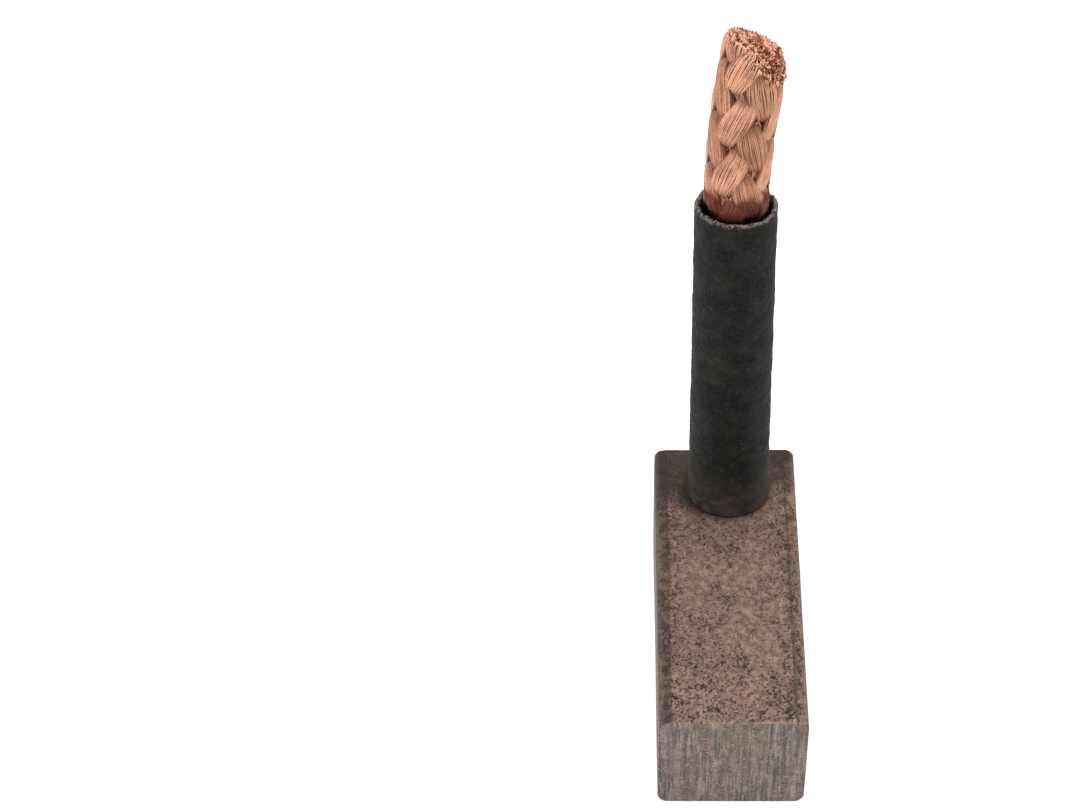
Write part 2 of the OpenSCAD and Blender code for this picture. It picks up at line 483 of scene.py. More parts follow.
# %% The palette
COPPER_PALE = (212, 162, 134)
COPPER_DARK = (150, 104, 82)
COPPER_BROWN = (136, 92, 70)
# The next red-brown is painted shade in the braid, and also darkens the copper just above the
# sleeve's rim.
COPPER_SHADE_AND_RIM_DARK = (84, 36, 25)
COPPER_FRESH = (244, 196, 168)
COPPER_RED = (150, 78, 54)
SLEEVE_BLACK = (11, 12, 10)
SLEEVE_GREY = (23, 24, 21)
SLEEVE_PIT = (3, 3, 3)
SLEEVE_WORN = (36, 37, 33)
SLEEVE_PALE = (54, 54, 51)
SLEEVE_DUST = (84, 80, 74)
POWDER_ON_SLEEVE = (72, 63, 58)
FIBRE_GREY = (138, 128, 126)
FIBRE_DARK = (62, 54, 52)
POWDER_BROWN = (116, 88, 77)
POWDER_PALE = (153, 124, 110)
POWDER_LIGHT = (176, 150, 134)
POWDER_DARK = (100, 79, 69)
GRAPHITE = (44, 36, 30)
# The next brown is painted shade round the sleeve's foot, and also darkens the block's far end.
FOOT_SHADE_AND_FAR_DARK = (44, 36, 31)
EDGE_BROWN = (88, 72, 63)
EDGE_PALE = (132, 118, 106)
EDGE_GREEN = (50, 49, 42)
FACE_GREY = (78, 73, 71)
FACE_LILAC = (140, 127, 123)
FACE_BROWN = (110, 92, 80)
FACE_BRIGHT = (176, 160, 150)
TAMPED_BLACK = (38, 34, 32)
TAMPED_BROWN = (66, 54, 48)
print("the palest copper is", [round(v, 3) for v in linear(COPPER_PALE)], "to the shader")

# %% [markdown]
# ## The braided lead
#
# Sixteen strands run round the lead, eight each way. A strand passes over two of the others and
# then under two, so its distance from the middle swings once in four crossings. On the real lead
# each strand is a flat ribbon of dozens of wires as thin as hair, which spread out on top and
# bunch up where the strand dives between its neighbours.
#
# A strand could be one smooth solid with lines painted on it, but the lines would never catch the
# light as wires do. So each strand is made of real wires: thin tubes laid side by side round a
# ribbon that narrows and widens. Inside the sleeve, where no light reaches, the ribbon alone is
# enough.


# %% The path of a strand
def strand_angle(i, way, z):
    """The angle of strand i at height z: a helix, right-handed for way +1 and left for way -1."""
    return 2 * math.pi * (i / EACH_WAY + way * (z - CROSSING_Z) / PITCH)


def lift(i, way, z):
    """1 where a strand lies on top, -1 where it lies underneath: a cosine with four columns."""
    return way * np.cos(math.pi / 2 * (strand_angle(i, way, z) / COLUMN_ANGLE - 0.5))


def swell(up, pinched, over, under):
    """A width or thickness: pinched at lift 0, growing with a power of the lift to either side."""
    top = np.maximum(up, 0) ** TAPER
    bottom = np.maximum(-up, 0) ** TAPER
    return pinched + (over - pinched) * top + (under - pinched) * bottom


def lead_x(z):
    """The lead leans a little toward -X and its bare end bends back toward +X as a square.

    It comes up against one side of its hole, so it stands off the middle by a small shift.
    """
    bare = np.maximum(0, z - RIM_Z) / (CUT_Z - RIM_Z)
    shift = LEAD_SHIFT * np.clip((z - FOOT_Z) / (BLOCK_T - FOOT_Z), 0, 1)
    return shift + END_BEND * bare**2 - LEAN * np.maximum(0, z - BLOCK_T)


def broader(z):
    """How much wider the lead is across than along: 1 in the hole, more toward its bare end."""
    climb = np.clip((z - BLOCK_T) / (CUT_Z - BLOCK_T), 0, 1)
    return 1 + BROADER * climb**1.5


def on_strand(i, way, z, across, out):
    """A point of strand i: across is mm along the ribbon's width, out is mm away from its middle.

    radius = mean radius + weave depth * flattened lift + out, and the angle is the strand's own
    plus across / radius. The flattened lift stays longer on top: sin(63 degrees * lift), and
    the strand's dive is held up in its middle, which closes the holes between strands.
    """
    up = np.sin(math.pi / 2 * FLAT_TOP * lift(i, way, z)) / math.sin(math.pi / 2 * FLAT_TOP)
    held_up = up + HOLD_UP * (1 - up**2)
    radius = MEAN_R + WEAVE_DEPTH * np.where(held_up < 0, SHALLOW * held_up, held_up)
    angle = WEAVE_START + strand_angle(i, way, z) + across / radius
    radius = radius + out
    x = lead_x(z) + radius * np.cos(angle) * broader(z)
    y = LEAD_Y + radius * np.sin(angle)
    return np.stack(np.broadcast_arrays(x, y, z), -1)


def spread_sizes(i, way, z):
    """Half width and half thickness of the ribbon, as its wires spread.

    A solid has to stay clear of its neighbours, but real wires squeeze into every gap, so the
    ribbon is wider than the solid, above all where it dives, and a tenth thicker there.
    """
    up = lift(i, way, z)
    width = COLUMN_W * swell(up, PINCH_COVER, FLOAT_COVER, UNDER_COVER) / 2
    return width, swell(up, 1.1 * PINCH_T, FLOAT_T, 1.1 * UNDER_T) / 2


def cut_over(x, y):
    """Height of the cut end: an oblique plane that falls faster at the front right."""
    dx, dy = x - lead_x(CUT_Z), y - LEAD_Y
    toward_nip = dx * math.cos(NIP_ANGLE) + dy * math.sin(NIP_ANGLE)
    plane = CUT_Z - CUT_SLOPE_X * dx - CUT_SLOPE_Y * dy
    return plane - NIP_SLOPE * np.maximum(0, toward_nip - NIP_START)


def cut_height(i, way, across, out):
    """Where a wire of strand i meets the cut, found by stepping to it."""
    z = np.full(np.shape(across), CUT_Z)
    for _ in range(24):
        point = on_strand(i, way, z, across, out)
        z = 0.5 * z + 0.5 * cut_over(point[..., 0], point[..., 1])
    return z


print("strands", 2 * EACH_WAY, "crossings every", PITCH / (2 * EACH_WAY), "mm")

# %% [markdown]
# ## Wires
#
# A wire keeps its place in its strand: a share of the way round the ribbon's edge. The share
# drifts slowly along the strand, because each strand is itself lightly twisted. Where the shears
# went through, the ends are bent over a little and stand at uneven heights.

# %% Wires of one strand
WIRE_R = 0.050
WIRES = 52
WIRE_RINGS = 56
WIRE_SIDES = 5
TWIST = 1 / 34  # turns round its ribbon that a wire makes in 1 mm
SHOWN_FROM = RIM_Z - 3.0
FILLERS, FILLER_RINGS, FILLER_SIDES = 13, 36, 5
STUBS, STUB_RINGS = 84, 8
CORE_SIDES, CORE_RINGS = 12, 72
CORE_BELOW_CUT = 1.2  # only wires show above it


def round_the_ribbon(share):
    """Across and out, each from -1 to 1, at a share of the way round a flat ribbon.

    across runs back and forth at an even pace, and out = +-sqrt(1 - across^2).
    """
    share = share % 1.0
    across = 4 * np.abs(share - 0.5) - 1
    side = np.where(share < 0.5, 1.0, -1.0)
    return across, side * np.sqrt(np.maximum(0, 1 - across**2))


def from_axis(paths):
    """For each point of many paths, the level direction away from the lead's axis."""
    z = paths[..., 2]
    return paths - np.stack([lead_x(z), np.full(z.shape, LEAD_Y), z], -1)


def near_end(paths, z_end, reach):
    """1 where each wire ends, falling as a square to 0 at reach below."""
    return np.maximum(0, 1 - (z_end[:, None] - paths[..., 2]) / reach) ** 2


def bent_tips(paths, z_end, draw, reach=0.6, amount=0.14):
    """Bends each path aside over its last stretch, each its own way."""
    near = near_end(paths, z_end, reach)
    turn = draw.uniform(0, 2 * math.pi, (len(paths), 1))
    size = amount * draw.uniform(0.2, 1.0, (len(paths), 1))
    return paths + np.stack([np.cos(turn) * size * near, np.sin(turn) * size * near, 0 * near], -1)


def crushed(paths, z_end, reach=0.75, amount=0.10):
    """Draws the last stretch in toward the middle, where the shears squeezed the lead."""
    return paths - amount * near_end(paths, z_end, reach)[..., None] * from_axis(paths)


def outer_wires(i, way, draw):
    """Paths of the wires that lie round the ribbon, wires x rings x 3.

    Also where each one ends, and how near the ribbon's edge it lies, from 0 to 1.
    """
    shares = (np.arange(WIRES) + draw.uniform(-0.3, 0.3, WIRES)) / WIRES
    sunk = draw.uniform(0, 0.025, WIRES)
    a, o = round_the_ribbon(shares)
    width, thick = spread_sizes(i, way, np.full(WIRES, CUT_Z))
    z_end = cut_height(i, way, a * width, o * thick) + draw.normal(0, 0.04, WIRES)
    t = np.linspace(0, 1, WIRE_RINGS)[None]
    z = SHOWN_FROM + (z_end[:, None] - SHOWN_FROM) * t
    sway = np.sin(z * draw.uniform(0.8, 2.4, (WIRES, 1)) + draw.uniform(0, 6, (WIRES, 1)))
    drift = way * TWIST * (z - CUT_Z) + 0.3 / WIRES * sway
    a, o = round_the_ribbon(shares[:, None] + drift)
    width, thick = spread_sizes(i, way, z)
    across = a * (width - WIRE_R)
    out = o * (thick - WIRE_R - sunk[:, None])
    return on_strand(i, way, z, across, out), z_end, np.abs(a)


def core_points(i, way):
    """The ribbon itself, as a closed surface: an ellipse carried along the strand.

    It narrows to a blunt point some way below the cut.
    """
    angle = 2 * math.pi * np.arange(CORE_SIDES) / CORE_SIDES
    t = np.linspace(0, 1, CORE_RINGS)[:, None] ** 0.9
    width, thick = spread_sizes(i, way, np.full(CORE_SIDES, CUT_Z))
    top = cut_height(i, way, 0.8 * width * np.cos(angle), 0.8 * thick * np.sin(angle))
    top -= CORE_BELOW_CUT
    z = FOOT_Z + (top[None] - FOOT_Z) * t
    width, thick = spread_sizes(i, way, z)
    shrink = 1.2 * WIRE_R * np.clip((z - SHOWN_FROM) / 0.6, 0, 1)
    point_off = 1 - 0.85 * np.clip(1 - (top[None] - z) / 0.8, 0, 1)
    across = (width - shrink) * point_off * np.cos(angle)
    points = on_strand(i, way, z, across, -(thick - shrink) * point_off * np.sin(angle))
    corner = np.arange(CORE_SIDES)
    caps = [corner[::-1][None], (corner + (CORE_RINGS - 1) * CORE_SIDES)[None]]
    return points.reshape(-1, 3), [grid_quads(CORE_RINGS, CORE_SIDES)] + caps


def filler_wires(i, draw):
    """Loose wires just under the strands: they wander up the lead and show in its small gaps."""
    each = (FILLERS, 1)
    z = np.linspace(SHOWN_FROM, CUT_Z - CORE_BELOW_CUT, FILLER_RINGS)
    z = np.broadcast_to(z, (FILLERS, FILLER_RINGS))
    start = WEAVE_START + COLUMN_ANGLE * (i + draw.uniform(-0.6, 0.6, each))
    sway = 0.12 * np.sin(z * draw.uniform(0.6, 1.6, each) + draw.uniform(0, 6, each))
    turn = start + sway + draw.choice([-1, 1], each) * 0.16 * (z - CUT_Z)
    radius = draw.uniform(1.38, 1.60, each) + 0.3 * sway
    x = lead_x(z) + radius * np.cos(turn)
    return np.stack([x, LEAD_Y + radius * np.sin(turn), z], -1)


def stub_wires(i, draw):
    """Short crinkled wires that fill this strand's sector of the cut face.

    Their roots are spread evenly over the sector from the middle out: the radius grows with the
    square root of a random share. Each stands on the cut plane and bends over its own way.
    """
    each = (STUBS, 1)
    lead_r = 0.82 * BRAID_R
    sector = WEAVE_START + COLUMN_ANGLE * (i + draw.uniform(-0.7, 0.7, STUBS))
    radius = lead_r * np.sqrt(draw.uniform(0, 1, STUBS))
    x = lead_x(CUT_Z) + radius * np.cos(sector) * broader(CUT_Z)
    y = LEAD_Y + radius * np.sin(sector)
    clump = noise(np.stack([x, y, 0 * x], -1), 0.42, 51)
    top = cut_over(x, y) + 0.10 * clump + draw.uniform(-0.14, 0.04, STUBS)
    x, y, top, radius = (v[:, None] for v in (x, y, top, radius))
    t = np.linspace(0, 1, STUB_RINGS)[None]
    turn = draw.uniform(0, 2 * math.pi, each)
    curl = turn + draw.uniform(-2.6, 2.6, each) * t
    calm = 1 - 0.6 * (radius / lead_r) ** 2
    lean = draw.uniform(0.05, 0.34, each) * calm * t**1.4
    depth = 0.9 + draw.uniform(0.3, 1.0, each) * (1 - radius / BRAID_R)
    inward = 0.35 * (1 - t)
    x = x - inward * (x - lead_x(CUT_Z)) + lean * np.cos(curl)
    y = y - inward * (y - LEAD_Y) + lean * np.sin(curl)
    return np.stack([x, y, top - depth * (1 - t) - 0.3 * lean], -1)


# %% The copper
def copper_wire():
    """Bare copper: each wire its own brightness, one way painted lighter, painted shade in the
    crossings, fresh at the cut.
    """
    material, tree, shader = principled("bare copper wire", Metallic=1.0)
    stain = place(tree, STAINS, Size=1.1, Seed=3.0, Low=0.35, High=0.75)
    fine = place(tree, STAINS, Size=0.16, Seed=9.0, Low=0.3, High=0.7)
    clump = place(tree, STAINS, Size=0.34, Seed=14.0, Low=0.42, High=0.56)
    colour = paint(
        tree,
        COPPER_DARK,
        (COPPER_PALE, add_mix(tree, mark_of(tree, "tone_and_way_light"), fine, 0.35)),
        (COPPER_BROWN, stain, 0.45),
        # Painted shade where strands dive, along their edges and inside, and darker copper just
        # above the rim.
        (COPPER_SHADE_AND_RIM_DARK, mark_of(tree, "shade_and_rim_dark")),
        (paint(tree, COPPER_RED, (COPPER_FRESH, clump)), mark_of(tree, "tip")),
    )
    tree.links.new(colour, shader.inputs["Base Color"])
    tree.links.new(from_to(tree, stain, 0.34, 0.55), shader.inputs["Roughness"])
    return material


copper = copper_wire()
print("material:", copper.name)


# %% Build the strands
def wire_shade_and_rim_dark(up, at_edge, paths):
    """How dark a wire is painted at each ring, from 0 to 0.95.

    Painted shade grows as the strand dives and toward its edges, and the wire is dark below a wavy
    line just above the sleeve's rim.
    """
    # Below a wavy line just above the sleeve's rim the copper is darker.
    dark_line = RIM_Z + DARK_LINE_UP + 0.35 * noise(paths, 0.9, 61) + 0.15 * noise(paths, 0.3, 62)
    below_dark_line = np.clip((dark_line - paths[..., 2]) / 0.35, 0, 1)
    # Painted shade: darker where the strand dives under its neighbours and along its edges.
    shade_and_rim_dark = np.clip(0.58 - 0.95 * up, 0, 0.85) + 0.8 * np.clip((at_edge - 0.78) / 0.14, 0, 1)
    return np.clip(np.maximum(shade_and_rim_dark, 0.92 * below_dark_line) + 0.1 * noise(paths, 0.5, 63), 0, 0.95)


def strand_piece(number):
    """One strand: the ribbon, its wires where they can be seen, and its share of the cut face.

    Its marks give each wire its own brightness, with the strands of one way painted lighter, then
    painted shade where wires dive, lie underneath or sit down in the cut, with darkening just above
    the sleeve's rim, and tip is 1 at the freshly cut ends.
    """
    way = 1 if number <= EACH_WAY else -1
    draw = np.random.default_rng(100 + number)
    core, faces = core_points(number, way)
    paths, z_end, at_edge = outer_wires(number, way, draw)
    up = lift(number, way, paths[..., 2])
    paths = crushed(bent_tips(paths, z_end, draw), z_end)
    filling = filler_wires(number, draw)
    stubs = stub_wires(number, draw)
    points = [core]
    for more, more_faces in (
        tubes(paths, WIRE_R, WIRE_SIDES, from_axis(paths)),
        tubes(filling, 1.3 * WIRE_R, FILLER_SIDES, from_axis(filling)),
        tubes(stubs, WIRE_R, WIRE_SIDES, np.array([1.0, 0.3, 0.0])),
    ):
        before = sum(len(part) for part in points)
        faces += [f + before for f in more_faces]
        points.append(more)

    # Strands laid one way are painted lighter and the other way darker, as the light falls on them;
    # the rest differs at random from strand to strand.
    way_light_and_bobbin = 0.22 * way + draw.uniform(-0.15, 0.25)
    own_tone_and_way_light = np.clip(draw.uniform(0.1, 0.7, WIRES) + way_light_and_bobbin, 0, 1)
    stub_tone = draw.uniform(0, 1, STUBS)
    loose_tone = draw.uniform(0, 1, FILLERS)
    rise = np.repeat(np.tile(np.linspace(0, 1, STUB_RINGS), STUBS), WIRE_SIDES)
    on_core, on_loose = np.ones(len(core)), np.ones(len(points[2]))
    # Each wire's own brightness with the painted light of its way; the ribbon inside is kept dark as
    # painted shade.
    tone_and_way_light = [
        0.1 * on_core,
        np.repeat(own_tone_and_way_light, WIRE_RINGS * WIRE_SIDES),
        np.repeat(loose_tone, FILLER_RINGS * FILLER_SIDES),
        np.repeat(stub_tone, STUB_RINGS * WIRE_SIDES),
    ]
    shade_and_rim_dark = np.repeat(wire_shade_and_rim_dark(up, at_edge, paths).ravel(), WIRE_SIDES)
    # Painted shade on the ribbon inside, the loose wires under the strands, and the roots of the cut
    # wires.
    shade_and_rim_dark = [0.6 * on_core, shade_and_rim_dark, 0.25 * on_loose, 0.9 * (1 - rise) ** 0.7]
    tip = np.repeat(near_end(paths, z_end, 0.5).ravel(), WIRE_SIDES)
    tip = [0 * on_core, tip, 0 * on_loose, rise**3]
    marks = {"tone_and_way_light": tone_and_way_light, "shade_and_rim_dark": shade_and_rim_dark, "tip": tip}
    marks = {mark: np.concatenate(parts) for mark, parts in marks.items()}
    piece = make_piece(f"copper_strand_{number:02d}", np.concatenate(points), faces, copper, marks)
    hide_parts(f"braid_strand_{number:02d}")
    return piece


strands = [strand_piece(number) for number in range(1, 2 * EACH_WAY + 1)]
print("strands:", sum(len(s.data.polygons) for s in strands), "faces")

# %% [markdown]
# ## The insulating sleeve
#
# A woven glass sleeving soaked in black varnish. It is not a smooth pipe: the weave shows through
# as a fine diagonal bumpiness, the tube is a little out of round, and where it was cut with shears
# the rim is ragged and grey, because the cut fibres show their uncoated ends.
#
# The surface is a grid of heights and angles. The relief is added to the radius, so the outline
# shows it too, which a bump map alone can't do.

# %% Sleeve surface
SLEEVE_WALL = 0.30
SLEEVE_R = 2.2  # about the radius to the middle of the wall
SLEEVE_STEP = 0.46  # from one thread to the next, around and up
SLEEVE_AROUND, SLEEVE_UP, INNER_UP, LIP_RINGS = 176, 170, 40, 4
FIBRES, FIBRE_RINGS, FIBRE_SIDES = 700, 4, 4


def rim_height(angle):
    """Height of the rim round the sleeve: the cut's tilt, slow waves, and a ragged fine edge."""
    y = SLEEVE_R * np.sin(angle)
    place_on_rim = np.stack([SLEEVE_R * np.cos(angle), y, 0 * angle], -1)
    ragged = 0.09 * noise(place_on_rim, 0.6, 21) + 0.08 * noise(place_on_rim, 0.17, 22)
    waves = 0.06 * np.sin(2 * angle + 0.7) + 0.045 * np.sin(5 * angle + 1.9)
    return RIM_Z - 0.12 * y + waves + ragged


def sleeve_point(angle, z, outside):
    """A point of the sleeve's outer or inner surface, mm.

    Half widths across and along come from the lead inside: it is wider across, and flares at the
    foot with a square. The weave adds sin(a) * sin(b), with a and b running along the two
    diagonals.
    """
    foot = np.maximum(0, 1 - (z - BLOCK_T) / 20) ** 2
    half_x = BRAID_R + 0.29 + 0.14 * foot
    half_y = BRAID_R + 0.05
    here = np.stack(np.broadcast_arrays(half_x * np.cos(angle), half_y * np.sin(angle), z), -1)
    around = SLEEVE_R * angle
    a = 2 * math.pi * (around + z) / SLEEVE_STEP
    b = 2 * math.pi * (around - z) / SLEEVE_STEP
    weave = 0.012 * np.sin(a) * np.sin(b)
    lumps = 0.034 * noise(here, 0.9, 5) + 0.018 * noise(here, 0.3, 6) + 0.03 * noise(here, 4, 7)
    grow = np.where(outside, SLEEVE_WALL + weave + lumps, 0.5 * weave)
    x = lead_x(np.minimum(z, RIM_Z)) + (half_x + grow) * np.cos(angle)
    y = LEAD_Y + (half_y + grow) * np.sin(angle)
    return np.stack(np.broadcast_arrays(x, y, z), -1)


def sleeve_surface():
    """Outer wall from the foot to the rim, over the rim, and down the inner wall to the foot.

    The last row of the grid joins the first one, which closes the tube under its foot.
    """
    angle = 2 * math.pi * np.arange(SLEEVE_AROUND)[None] / SLEEVE_AROUND
    share_up = np.linspace(0, 1, SLEEVE_UP)[:, None] ** 0.9
    rim = rim_height(angle)
    z_out = BLOCK_T + (rim - 0.10 - BLOCK_T) * share_up
    outer = sleeve_point(angle, z_out, True)
    share_down = np.linspace(1, 0, INNER_UP)[:, None] ** 1.5
    z_in = BLOCK_T + (rim - 0.06 - BLOCK_T) * share_down
    inner = sleeve_point(angle, z_in, False)
    over = np.linspace(0, 1, LIP_RINGS + 2)[1:-1, None, None]
    crown = np.sin(math.pi * over) * 0.08
    lip = outer[-1] * (1 - over) + inner[0] * over + crown * np.array([0, 0, 1.0])
    grid = np.concatenate([outer, lip, inner])
    rows = len(grid)
    quads = grid_quads(rows + 1, SLEEVE_AROUND) % (rows * SLEEVE_AROUND)
    below = np.clip((grid[..., 2] - (rim - 0.12)) / 0.10, 0, 1)
    near_foot = np.clip(1 - (grid[..., 2] - BLOCK_T) / 4.2, 0, 1) ** 1.2
    return grid.reshape(-1, 3), [quads], below.ravel(), near_foot.ravel()


def rim_fibres(draw):
    """Cut ends of the weave's fibres, standing up from the rim in uneven tufts.

    A fibre is root + length * (t * up + t^2 * aside), with t from 0 to 1.
    """
    angle = draw.uniform(0, 2 * math.pi, FIBRES)
    across = draw.uniform(0, 1, FIBRES)
    z = rim_height(angle) - 0.12
    outer, inner = sleeve_point(angle, z, True), sleeve_point(angle, z, False)
    root = inner + (outer - inner) * across[:, None]
    t = np.linspace(0, 1, FIBRE_RINGS)[None, :, None]
    tuft = 0.07 + 0.06 * noise(root, 0.3, 31)[:, None, None]
    length = tuft * draw.uniform(0.5, 1.5, (FIBRES, 1, 1))
    aside = draw.normal(0, 0.5, (FIBRES, 1, 3)) * np.array([1, 1, 0.2])
    paths = root[:, None] + length * (t * np.array([0, 0, 1.0]) + t**2 * aside)
    radii = 0.022 * (1 - 0.5 * t[..., 0])
    return tubes(paths, radii, FIBRE_SIDES, np.array([1.0, 0.2, 0.1]))


# %% The varnished weave
def varnished_sleeve():
    """Matt black varnish over glass: a faint sheen, grey cut fibres, brown powder at the foot."""
    material, tree, shader = principled(
        "varnished sleeving", Roughness=0.7, Specular_IOR_Level=0.10
    )
    patch = place(tree, STAINS, Size=1.3, Seed=1.0, Low=0.40, High=0.66)
    knob = place(tree, STAINS, Size=0.22, Seed=4.0, Low=0.3, High=0.75)
    dust = place(tree, SPECKS, Size=0.3, Seed=12.0, Amount=0.10)
    pale = place(tree, SPECKS, Size=0.34, Seed=25.0, Amount=0.40)
    pits = place(tree, SPECKS, Size=0.24, Seed=41.0, Amount=0.16)
    smear = place(tree, STAINS, Size=0.9, Seed=33.0, Low=0.38, High=0.62)
    tufts = place(tree, STAINS, Size=0.16, Seed=17.0, Low=0.40, High=0.58)
    powder = times(tree, mark_of(tree, "foot"), from_to(tree, smear, 0.3, 0.95))
    colour = paint(
        tree,
        SLEEVE_BLACK,
        (SLEEVE_GREY, knob),
        (SLEEVE_WORN, patch, 0.55),
        (SLEEVE_PALE, pale, 0.28),
        (SLEEVE_DUST, dust, 0.5),
        (POWDER_ON_SLEEVE, powder),
        (SLEEVE_PIT, pits, 0.9),
        (paint(tree, FIBRE_DARK, (FIBRE_GREY, tufts)), mark_of(tree, "cut")),
    )
    tree.links.new(colour, shader.inputs["Base Color"])
    bump(tree, shader, knob, distance=0.06, strength=0.6)
    return material


sleeving = varnished_sleeve()
wall, wall_faces, cut_mark, foot_mark = sleeve_surface()
fibres, fibre_faces = rim_fibres(np.random.default_rng(7))
sleeve = make_piece(
    "varnished_sleeve",
    np.concatenate([wall, fibres]),
    wall_faces + [f + len(wall) for f in fibre_faces],
    sleeving,
    {
        "cut": np.concatenate([cut_mark, np.ones(len(fibres))]),
        "foot": np.concatenate([foot_mark, np.zeros(len(fibres))]),
    },
)
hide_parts("insulating_sleeve")
print("sleeve:", len(sleeve.data.polygons), "faces")

# %% [markdown]
# ## The carbon block
#
# Copper and graphite powder pressed into a bar and baked. The pressed faces keep the skin of the
# die: brown, mottled, with dark graphite showing in small curled specks. Its long edges come
# rounded from the die. The contact face was ground across, so it is greyer, brighter and full of
# fine upright grooves, and its edges are nearly sharp, with tiny chips.
#
# The whole surface is one grid of rings. They start at the bottom of the lead's hole, climb its
# wall, spread over the top face, run down the sides and close under the block.

# %% Block surface
FRONT_COLUMNS, SIDE_COLUMNS, CORNER_COLUMNS = 112, 128, 4
WALL_ROWS, TOP_ROWS, ROUND_ROWS, FLANK_ROWS, BOTTOM_ROWS = 14, 74, 8, 40, 14
SOFT = 0.07  # the small rounding of the edges that the die leaves sharp


def outline_shares():
    """A ring round the block as shares: x and y of a square from -1 to 1, and where each faces.

    Each side is laid out in front, with the corner after it, and then turned by its quarters.
    """
    corner = np.linspace(0, math.pi / 2, CORNER_COLUMNS + 2)[1:-1]
    parts = []
    for side, columns in enumerate((FRONT_COLUMNS, SIDE_COLUMNS) * 2):
        x = np.concatenate([np.linspace(-1, 1, columns), np.ones(CORNER_COLUMNS)])
        dx = np.concatenate([np.zeros(columns), np.sin(corner)])
        dy = np.concatenate([np.ones(columns), np.cos(corner)])
        ring = np.stack([x, 0 * x - 1, dx, -dy])
        for _ in range(side):
            ring = np.stack([-ring[1], ring[0], -ring[3], ring[2]])
        parts.append(ring)
    return np.concatenate(parts, 1)


SHARE_X, SHARE_Y, TURN_X, TURN_Y = outline_shares()
COLUMNS = len(SHARE_X)


def edge_round(z):
    """How far the long sides stand in at height z, by their rounding: R - sqrt(R^2 - d^2)."""
    d = np.maximum(0, EDGE_R - np.minimum(z, BLOCK_T - z))
    return EDGE_R - np.sqrt(np.maximum(0, EDGE_R**2 - d**2))


def block_ring(z, inward):
    """One ring round the block at height z, with softly rounded corners, pulled in by inward."""
    half_x = BLOCK_W / 2 - edge_round(z) - inward
    half_y = BLOCK_L / 2 - inward
    x = SHARE_X * (half_x - SOFT) + SOFT * TURN_X
    y = SHARE_Y * (half_y - SOFT) + SOFT * TURN_Y
    return np.stack([x, y, np.full(COLUMNS, z)], -1)


def block_surface():
    """Rings from the hole's floor to the middle of the bottom face, as one closed grid."""
    top = block_ring(BLOCK_T, SOFT)
    angle = np.arctan2(top[:, 1] - LEAD_Y, top[:, 0])
    circle = np.stack([np.cos(angle), np.sin(angle)], -1)

    def round_ring(radius, z):
        """A ring about the hole's axis."""
        return np.concatenate([circle * radius + [0, LEAD_Y], np.full((COLUMNS, 1), z)], 1)

    floor = BLOCK_T - HOLE_DEPTH
    rings = [round_ring(r, floor) for r in (0.0, 0.5 * HOLE_R, HOLE_R)]
    rings += [round_ring(HOLE_R, z) for z in np.linspace(floor, BLOCK_T - 0.1, WALL_ROWS)[1:]]
    mouth = round_ring(HOLE_R + 0.1, BLOCK_T)
    rings += [mouth * (1 - s) + top * s for s in np.linspace(0, 1, TOP_ROWS) ** 1.15]
    quarter = np.linspace(0, math.pi / 2, 5)[1:]
    drops = [(SOFT * (1 - math.cos(q)), SOFT * (1 - math.sin(q))) for q in quarter]
    rings += [block_ring(BLOCK_T - drop, inward) for drop, inward in drops]
    rounding = np.linspace(0.35, math.pi / 2, ROUND_ROWS)
    upper = BLOCK_T - SOFT - (EDGE_R - SOFT) * (1 - np.cos(rounding))
    flank = np.linspace(BLOCK_T - EDGE_R, EDGE_R, FLANK_ROWS)
    lower = SOFT + (EDGE_R - SOFT) * (1 - np.sin(np.linspace(0, math.pi / 2 - 0.35, ROUND_ROWS)))
    rings += [block_ring(z, 0.0) for z in (*upper, *flank[1:], *lower[1:])]
    rings += [block_ring(drop, inward) for drop, inward in drops[-2::-1]]
    bottom = block_ring(0.0, SOFT)
    rings += [bottom * np.array([s, s, 1.0]) for s in np.linspace(1, 0, BOTTOM_ROWS)]
    return np.stack(rings)


def relief(points):
    """Height in mm added to the skin: the die's slow waves, pits, and grooves on the ground face."""
    x, y, z = points[..., 0], points[..., 1], points[..., 2]
    waves = 0.012 * noise(points, 2.6, 41)
    grain = 0.006 * noise(points, 0.3, 42)
    ground = np.clip((-y - BLOCK_L / 2 + 0.02) / 0.01 + 1, 0, 1)
    groove = noise(np.stack([x, 0 * y, 0.04 * z], -1), 0.16, 43)
    chip = np.clip(noise(points, 0.35, 44) - 0.45, 0, 1)
    edge = np.exp(-(((np.abs(y) - BLOCK_L / 2) / 0.12) ** 2 + ((z - BLOCK_T) / 0.12) ** 2))
    return waves + grain - 0.10 * chip * edge + ground * (0.010 * groove - 0.006)


# %% Weld and mark the block
def weld(points, quads, marks):
    """Joins points that lie on one spot and turns the quads at the two poles into triangles."""
    key = np.round(points, 4)
    _, first, index = np.unique(key, axis=0, return_index=True, return_inverse=True)
    quads = index.ravel()[quads]
    same = quads == np.roll(quads, -1, 1)
    whole = quads[~same.any(1)]
    at_pole = same.sum(1) == 1
    halves = quads[at_pole]
    drop = np.argmax(same[at_pole], 1)
    keep = np.arange(4)[None] != drop[:, None]
    triangles = halves[keep].reshape(-1, 3)
    return points[first], [whole, triangles], {k: v[first] for k, v in marks.items()}


